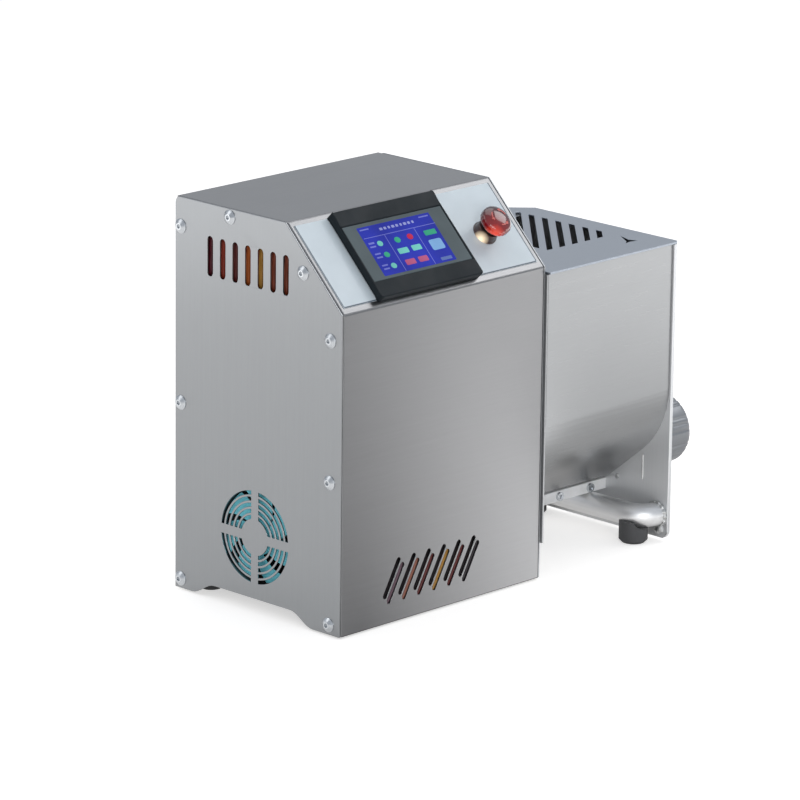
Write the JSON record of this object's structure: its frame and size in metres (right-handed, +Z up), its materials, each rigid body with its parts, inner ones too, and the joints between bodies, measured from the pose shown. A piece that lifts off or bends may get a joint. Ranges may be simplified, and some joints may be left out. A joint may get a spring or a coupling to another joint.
{
  "type": "electric pasta maker",
  "caption": "Countertop electric pasta maker: stainless housing with a sloped touch panel and stop button beside a lidded mixing trough with auger, barrel and die.",
  "frame": {"origin": "on the table below the middle of the whole machine", "axes": "+Z up, the control side faces -Y, the trough and the ring nut are on the +X side"},
  "size_m": [0.5326, 0.219, 0.37],
  "materials": {
    "satin_stainless": "satin brushed stainless sheet",
    "trough_stainless": "satin stainless trough sheet",
    "lid_stainless": "satin stainless lid sheet",
    "base_steel": "galvanised steel sheet",
    "screw_steel": "bright stainless fasteners",
    "insert_brass": "yellow-passivated rivet nuts",
    "foot_rubber": "black rubber",
    "label_film": "pale satin label",
    "bezel_plastic": "dark slate moulded plastic",
    "screen_glass": "lit touch screen",
    "stop_red": "translucent red button head",
    "stop_lamp": "lit ivory collar",
    "black_plastic": "black moulded plastic",
    "fan_blue": "cyan fan rotor",
    "motor_paint": "dark grey motor paint",
    "cast_gearbox": "die-cast aluminium",
    "copper_stator": "copper windings",
    "gear_steel": "hardened steel",
    "food_steel": "polished stainless steel",
    "bush_plastic": "ivory bearing plastic",
    "die_bronze": "bronze die",
    "nut_alloy": "grey alloy ring nut",
    "board_green": "circuit board"
  },
  "bodies": {
    "frame": {"base_plate": "base_steel", "wrap_cover": "satin_stainless", "left_side_panel": "satin_stainless", "right_side_panel": "satin_stainless", "rear_panel": "satin_stainless", "side_panel_screws": "screw_steel", "flush_panel_screws": "screw_steel", "panel_rivet_nuts": "insert_brass", "housing_feet": "foot_rubber", "housing_foot_screws": "screw_steel", "control_label": "label_film", "screen_bezel": "bezel_plastic", "screen_glass": "screen_glass", "screen_body": "bezel_plastic", "screen_clamps": "screw_steel", "stop_collar": "stop_lamp", "stop_locknut": "black_plastic", "stop_contact_block": "black_plastic", "fan_frame": "black_plastic", "fan_studs": "screw_steel", "motor_case": "motor_paint", "motor_end_bell": "motor_paint", "motor_stator": "copper_stator", "motor_bearings": "gear_steel", "motor_cradle": "base_steel", "reduction_case": "cast_gearbox", "gear_case": "cast_gearbox", "gear_case_cover": "cast_gearbox", "drive_bearings": "gear_steel", "mixer_bearings": "gear_steel", "shaft_seals": "foot_rubber", "trough_back_plate": "trough_stainless", "trough_nuts": "screw_steel", "trough_shell": "trough_stainless", "trough_end_plate": "trough_stainless", "lid_sensor": "black_plastic", "hinge_leaf": "base_steel", "mixer_end_bush": "bush_plastic", "barrel": "food_steel", "support_tube": "food_steel", "support_bar": "food_steel", "support_bar_screws": "screw_steel", "trough_feet": "foot_rubber", "power_inlet": "black_plastic", "drive_board": "board_green"},
    "lid": {"lid": "lid_stainless", "lid_magnet": "gear_steel"},
    "motor_rotor": {"motor_rotor": "gear_steel"},
    "reduction_gear": {"reduction_gear": "gear_steel"},
    "drive_train": {"drive_shaft": "gear_steel", "auger_gear": "gear_steel", "auger": "food_steel"},
    "mixer": {"mixer_gear": "gear_steel", "mixer_shaft": "food_steel"},
    "fan_rotor": {"fan_rotor": "fan_blue"},
    "stop_plunger": {"stop_plunger": "black_plastic"},
    "stop_head": {"stop_head": "stop_red"},
    "pasta_die": {"pasta_die": "die_bronze"},
    "ring_nut": {"ring_nut": "nut_alloy"},
    "power_rocker": {"power_rocker": "stop_red"}
  },
  "joints": [
    {"name": "lid_hinge", "type": "hinge", "parent": "frame", "child": "lid", "pos_m": [-0.0018, 0.1001, 0.2879], "axis": [-1, 0, 0], "range_deg": [0, 100]},
    {"name": "motor_spin", "type": "hinge", "parent": "frame", "child": "motor_rotor", "pos_m": [-0.1633, -0.0189, 0.077], "axis": [1, 0, 0], "continuous": true},
    {"name": "reduction_spin", "type": "hinge", "parent": "frame", "child": "reduction_gear", "pos_m": [-0.0733, 0.0261, 0.077], "axis": [1, 0, 0], "continuous": true},
    {"name": "auger_spin", "type": "hinge", "parent": "frame", "child": "drive_train", "pos_m": [-0.0013, -0.0189, 0.077], "axis": [1, 0, 0], "continuous": true},
    {"name": "mixer_spin", "type": "hinge", "parent": "frame", "child": "mixer", "pos_m": [-0.0013, -0.0189, 0.197], "axis": [1, 0, 0], "continuous": true},
    {"name": "fan_spin", "type": "hinge", "parent": "frame", "child": "fan_rotor", "pos_m": [-0.2533, 0.0035, 0.071], "axis": [1, 0, 0], "continuous": true},
    {"name": "stop_press", "type": "slide", "parent": "frame", "child": "stop_plunger", "axis": [0, 0.7071, -0.7071], "range_m": [0, 0.004], "stiffness_N_per_m": 400},
    {"name": "stop_twist", "type": "hinge", "parent": "stop_plunger", "child": "stop_head", "pos_m": [-0.0498, -0.07218, 0.32903], "axis": [0, -0.7071, 0.7071], "range_deg": [0, 30], "stiffness_Nm_per_rad": 0.2},
    {"name": "die_travel", "type": "slide", "parent": "frame", "child": "pasta_die", "axis": [1, 0, 0], "range_m": [0, 0.00901]},
    {"name": "nut_turn", "type": "hinge", "parent": "pasta_die", "child": "ring_nut", "pos_m": [0.2663, -0.0189, 0.077], "axis": [1, 0, 0], "range_deg": [0, 1080]},
    {"name": "rocker_tilt", "type": "hinge", "parent": "frame", "child": "power_rocker", "pos_m": [-0.2033, 0.102, 0.165], "axis": [1, 0, 0], "range_deg": [0, 16]}
  ],
  "couplings": [
    {"joint": "reduction_spin", "follows": "motor_spin", "ratio": -0.25},
    {"joint": "auger_spin", "follows": "motor_spin", "ratio": 0.0625},
    {"joint": "mixer_spin", "follows": "motor_spin", "ratio": -0.041667},
    {"joint": "die_travel", "follows": "nut_turn", "m_per_rad": 0.00047746}
  ]
}
